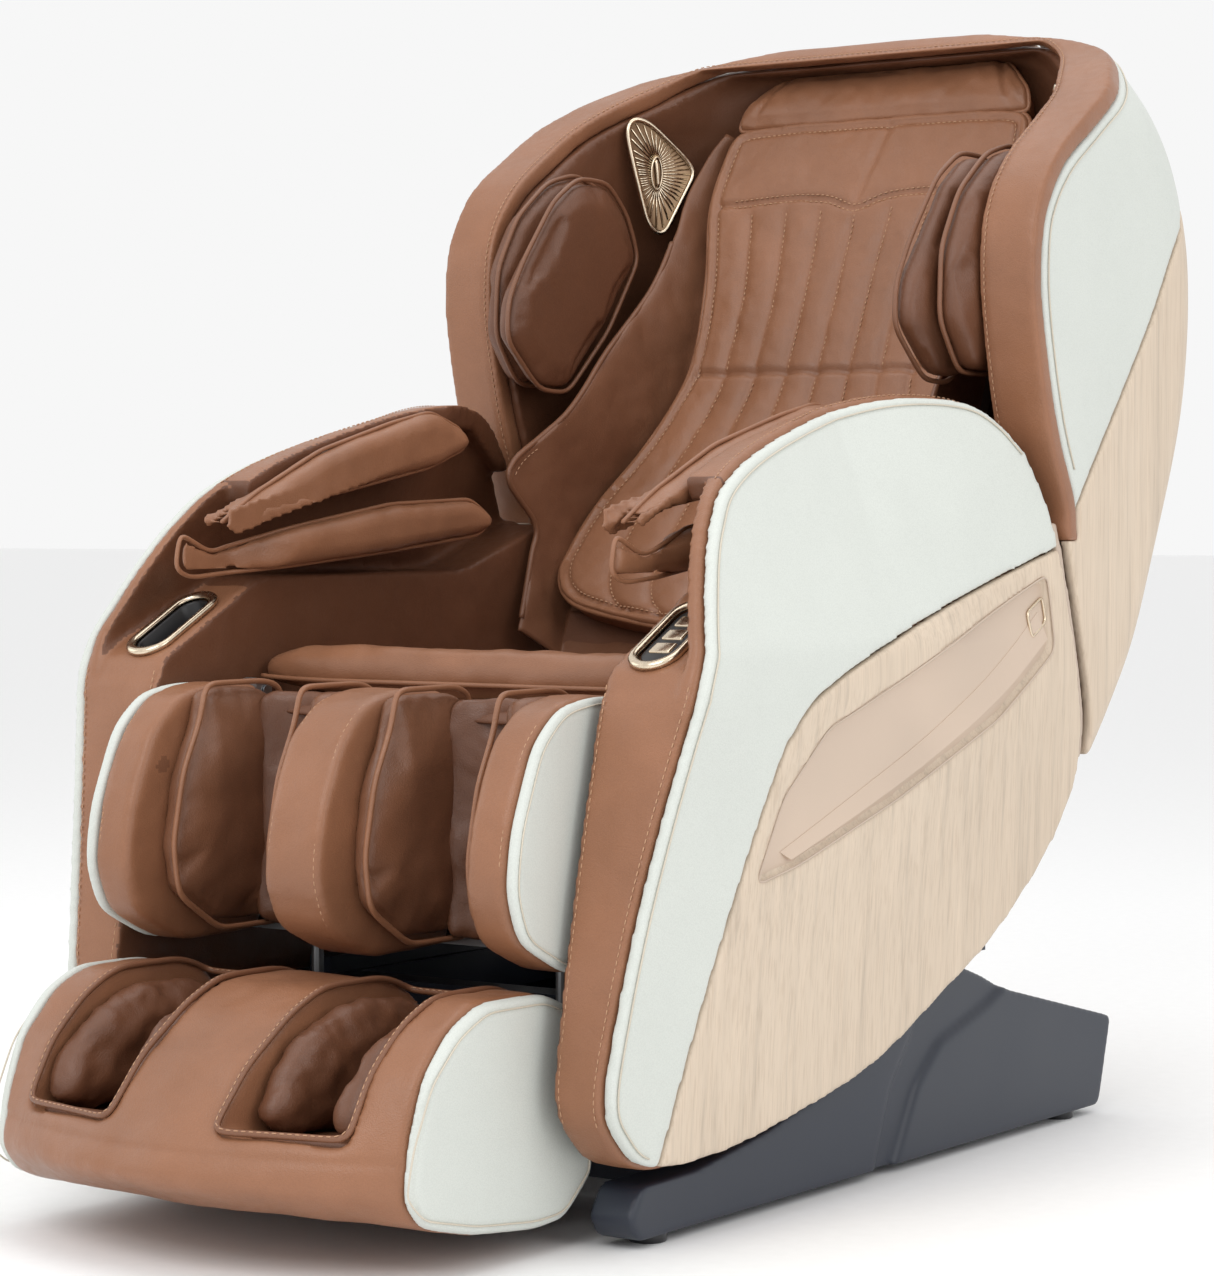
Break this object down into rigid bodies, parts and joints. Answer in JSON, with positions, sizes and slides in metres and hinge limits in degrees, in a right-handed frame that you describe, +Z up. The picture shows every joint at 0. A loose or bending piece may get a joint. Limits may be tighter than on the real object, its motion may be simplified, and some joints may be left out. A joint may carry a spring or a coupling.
{
  "type": "massage chair",
  "caption": "Full-body massage chair: hooded reclining backrest with a roller carriage, padded arms, tilting seat, lifting calf rest and extending footrest on a sliding base.",
  "frame": {"origin": "centre of the bounding box on the floor", "axes": "+Z up, the sitter faces -Y, +X is the sitter's left"},
  "size_m": [0.762, 1.3739, 1.218],
  "materials": {
    "leather": "semi-matte caramel leather with fine grain",
    "dark_leather": "darker brown leather and lining",
    "white": "smooth off-white upholstered panel",
    "wood": "pale oak veneer, matt",
    "navy": "charcoal-navy satin moulding",
    "taupe": "warm taupe moulding",
    "gold": "champagne-gold polished trim",
    "bronze": "bronze satin grille",
    "black": "black moulded plastic",
    "steel": "grey painted steel"
  },
  "bodies": {
    "base": {"base_skirt_left": "navy", "base_skirt_right": "navy", "base_rear_cover": "navy", "base_frame": "navy", "power_panel": "black"},
    "power_switch": {"power_switch": "gold"},
    "seat_carriage": {"seat_carriage": "steel"},
    "seat": {"seat_frame": "steel", "seat_pad": "dark_leather", "seat_roll": "leather", "air_pump": "black", "legrest_actuator": "black", "arm_core_left": "leather", "arm_core_right": "leather", "arm_panel_left": "white", "arm_panel_right": "white", "arm_side_panel_left": "wood", "arm_side_panel_right": "wood", "forearm_flap_upper_left": "leather", "forearm_flap_upper_right": "leather", "forearm_flap_lower_left": "leather", "forearm_flap_lower_right": "leather", "bezel_left": "gold", "bezel_right": "gold", "control_panel": "black", "pocket_liner": "black"},
    "key_1": {"control_key_1": "gold"},
    "key_2": {"control_key_2": "gold"},
    "key_3": {"control_key_3": "gold"},
    "legrest_rod": {"legrest_actuator_rod": "steel"},
    "backrest": {"hood_rim": "leather", "hood_shell": "dark_leather", "hood_panel_left": "white", "hood_panel_right": "white", "hood_side_panel_left": "wood", "hood_side_panel_right": "wood", "rear_cover": "taupe", "back_pad": "leather", "head_pillow": "leather", "back_lining": "leather", "back_frame": "steel", "shoulder_pad_left": "leather", "shoulder_pad_right": "leather", "speaker_grille_left": "bronze", "speaker_grille_right": "bronze"},
    "massage_carriage": {"massage_carriage": "black"},
    "kneader_left": {"kneading_arm_left": "steel"},
    "kneader_right": {"kneading_arm_right": "steel"},
    "massage_roller_left": {"roller_left": "taupe"},
    "massage_roller_right": {"roller_right": "taupe"},
    "legrest": {"legrest_frame": "steel", "calf_pad_left": "leather", "calf_pad_right": "leather", "calf_side_left": "white", "calf_side_right": "white", "calf_divider": "leather"},
    "footrest": {"footrest_shell": "leather", "foot_side_left": "white", "foot_side_right": "white", "footrest_slider": "steel"}
  },
  "joints": [
    {"name": "power_switch_rock", "type": "hinge", "parent": "base", "child": "power_switch", "pos_m": [0.025, 0.56, 0.058], "axis": [1, 0, 0], "range_deg": [-5, 5]},
    {"name": "seat_slide", "type": "slide", "parent": "base", "child": "seat_carriage", "axis": [0, -1, 0], "range_m": [0, 0.12]},
    {"name": "seat_tilt", "type": "hinge", "parent": "seat_carriage", "child": "seat", "pos_m": [0, 0.208, 0.262], "axis": [-1, 0, 0], "range_deg": [0, 20]},
    {"name": "backrest_recline", "type": "hinge", "parent": "seat", "child": "backrest", "pos_m": [0, 0.288, 0.382], "axis": [-1, 0, 0], "range_deg": [0, 36]},
    {"name": "legrest_lift", "type": "hinge", "parent": "seat", "child": "legrest", "pos_m": [0, -0.257, 0.49], "axis": [-1, 0, 0], "range_deg": [0, 80]},
    {"name": "footrest_extend", "type": "slide", "parent": "legrest", "child": "footrest", "axis": [0, 0, -1], "range_m": [0, 0.12]},
    {"name": "legrest_rod_slide", "type": "slide", "parent": "seat", "child": "legrest_rod", "axis": [0, -1, 0], "range_m": [0, 0.06]},
    {"name": "key_1_press", "type": "slide", "parent": "seat", "child": "key_1", "axis": [0, 0.4771, -0.8788], "range_m": [0, 0.0015], "stiffness_N_per_m": 400},
    {"name": "key_2_press", "type": "slide", "parent": "seat", "child": "key_2", "axis": [0, 0.4771, -0.8788], "range_m": [0, 0.0015], "stiffness_N_per_m": 400},
    {"name": "key_3_press", "type": "slide", "parent": "seat", "child": "key_3", "axis": [0, 0.4771, -0.8788], "range_m": [0, 0.0015], "stiffness_N_per_m": 400},
    {"name": "massage_travel", "type": "slide", "parent": "backrest", "child": "massage_carriage", "axis": [0, 0.5, 0.866], "range_m": [-0.18, 0.18]},
    {"name": "kneading_left", "type": "hinge", "parent": "massage_carriage", "child": "kneader_left", "pos_m": [0, 0.4547, 0.6668], "axis": [1, 0, 0], "range_deg": [-5, 5]},
    {"name": "kneading_right", "type": "hinge", "parent": "massage_carriage", "child": "kneader_right", "pos_m": [0, 0.4547, 0.6668], "axis": [1, 0, 0], "range_deg": [-5, 5]},
    {"name": "roller_left_spin", "type": "hinge", "parent": "kneader_left", "child": "massage_roller_left", "pos_m": [0, 0.4793, 0.7173], "axis": [1, 0, 0], "continuous": true},
    {"name": "roller_right_spin", "type": "hinge", "parent": "kneader_right", "child": "massage_roller_right", "pos_m": [0, 0.4793, 0.7173], "axis": [1, 0, 0], "continuous": true}
  ],
  "couplings": [
    {"joint": "seat_slide", "follows": "backrest_recline", "m_per_rad": 0.1909},
    {"joint": "footrest_extend", "follows": "legrest_lift", "m_per_rad": 0.0859},
    {"joint": "legrest_rod_slide", "follows": "legrest_lift", "m_per_rad": 0.0429},
    {"joint": "kneading_right", "follows": "kneading_left", "ratio": -1}
  ]
}
